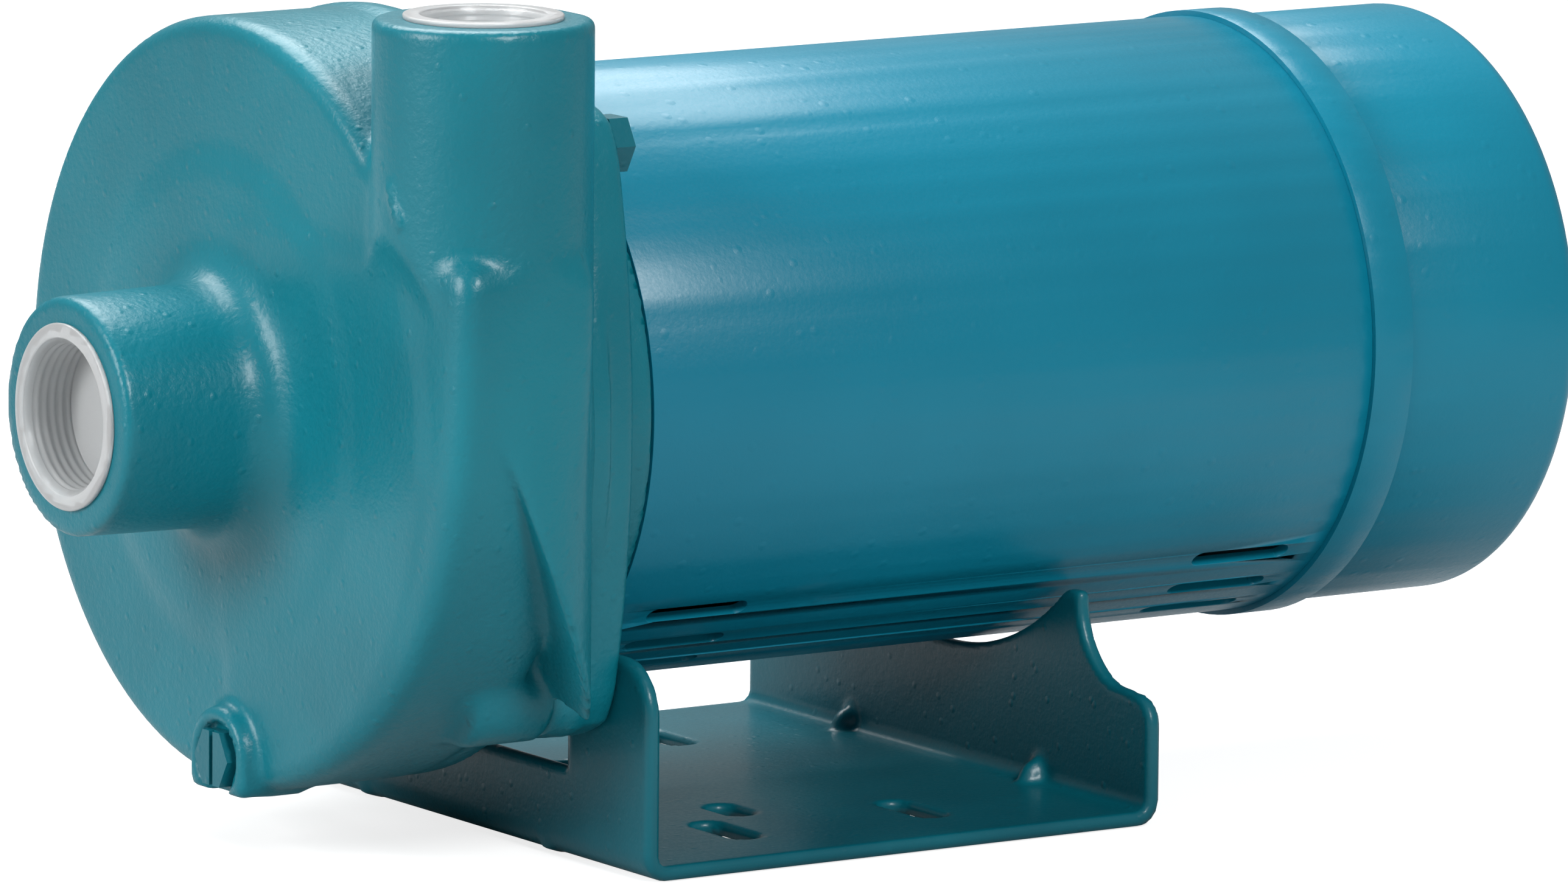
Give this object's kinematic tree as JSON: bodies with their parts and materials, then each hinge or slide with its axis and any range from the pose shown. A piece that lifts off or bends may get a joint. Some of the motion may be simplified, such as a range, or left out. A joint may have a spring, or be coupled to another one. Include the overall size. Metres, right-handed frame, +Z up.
{
  "type": "centrifugal water pump",
  "caption": "Close-coupled centrifugal water pump: cast volute with end suction and top discharge, electric motor and bent sheet base.",
  "frame": {"origin": "middle of the underside of the base plate", "axes": "+X along the shaft from the suction port towards the motor's rear, +Z up; the discharge port is on the -Y side and opens upwards"},
  "size_m": [0.4379, 0.2212, 0.2328],
  "materials": {
    "casing_enamel": "semi-gloss teal enamel on cast iron",
    "shell_enamel": "semi-gloss teal enamel on rolled steel",
    "bell_enamel": "semi-gloss teal enamel on cast aluminium",
    "cover_enamel": "semi-gloss teal enamel on drawn steel",
    "base_enamel": "semi-gloss teal enamel on bent sheet steel",
    "bolt_enamel": "teal enamel over steel fasteners",
    "plug_plastic": "milky translucent polyethylene",
    "nitrile": "black nitrile rubber",
    "bronze": "cast bronze",
    "ceramic": "lapped white ceramic",
    "carbon": "carbon graphite",
    "steel": "turned steel",
    "lamination": "stacked electrical steel",
    "aluminium": "die-cast aluminium",
    "copper": "varnished copper wire",
    "black_plastic": "moulded black plastic",
    "phenolic": "phenolic board",
    "natural_nylon": "natural nylon",
    "brass_fitting": "plated brass",
    "green_steel": "green dyed screw"
  },
  "bodies": {
    "housing": {"volute_casing": "casing_enamel", "casing_o_ring": "nitrile", "front_bracket": "casing_enamel", "casing_bolts": "bolt_enamel", "seal_seat": "ceramic", "seal_seat_gasket": "nitrile", "front_bearing_outer": "steel", "rear_bearing_outer": "steel", "wave_washer": "steel", "stator_core": "lamination", "stator_windings": "copper", "motor_shell": "shell_enamel", "rear_bell": "bell_enamel", "rear_cover": "cover_enamel", "rear_cover_screws": "steel", "through_bolts": "steel", "switch_plate": "phenolic", "switch_leaf": "brass_fitting", "terminal_board": "black_plastic", "terminal_studs": "brass_fitting", "start_capacitor": "black_plastic", "capacitor_clip": "steel", "ground_screw": "green_steel", "conduit_bushing": "steel", "base": "base_enamel"},
    "rotor": {"impeller": "bronze", "seal_carbon": "carbon", "seal_bellows": "nitrile", "seal_spring": "steel", "water_slinger": "nitrile", "shaft": "steel", "front_bearing_inner": "steel", "rear_bearing_inner": "steel", "rotor_core": "lamination", "rotor_end_rings": "aluminium", "cooling_fan": "black_plastic", "governor_plate": "steel"},
    "front_ball_set": {"front_bearing_balls": "steel", "front_bearing_cage": "brass_fitting"},
    "rear_ball_set": {"rear_bearing_balls": "steel", "rear_bearing_cage": "brass_fitting"},
    "governor_sleeve": {"governor_sleeve": "natural_nylon"},
    "suction_plug": {"suction_cap": "plug_plastic"},
    "discharge_plug": {"discharge_cap": "plug_plastic"},
    "drain_screw": {"drain_plug": "bolt_enamel"}
  },
  "joints": [
    {"name": "rotor_spin", "type": "hinge", "parent": "housing", "child": "rotor", "pos_m": [0, 0, 0.1205], "axis": [-1, 0, 0], "continuous": true},
    {"name": "front_balls_roll", "type": "hinge", "parent": "housing", "child": "front_ball_set", "pos_m": [-0.069, 0, 0.1205], "axis": [-1, 0, 0], "continuous": true},
    {"name": "rear_balls_roll", "type": "hinge", "parent": "housing", "child": "rear_ball_set", "pos_m": [0.168, 0, 0.1205], "axis": [-1, 0, 0], "continuous": true},
    {"name": "governor_slide", "type": "slide", "parent": "rotor", "child": "governor_sleeve", "axis": [-1, 0, 0], "range_m": [0, 0.0025], "stiffness_N_per_m": 200},
    {"name": "suction_plug_pull", "type": "slide", "parent": "housing", "child": "suction_plug", "axis": [-1, 0, 0], "range_m": [0, 0.03]},
    {"name": "discharge_plug_pull", "type": "slide", "parent": "housing", "child": "discharge_plug", "axis": [0, 0, 1], "range_m": [0, 0.03]},
    {"name": "drain_plug_pull", "type": "slide", "parent": "housing", "child": "drain_screw", "axis": [-1, 0, 0], "range_m": [0, 0.03]}
  ],
  "couplings": [
    {"joint": "front_balls_roll", "follows": "rotor_spin", "ratio": 0.3826},
    {"joint": "rear_balls_roll", "follows": "rotor_spin", "ratio": 0.3826}
  ]
}
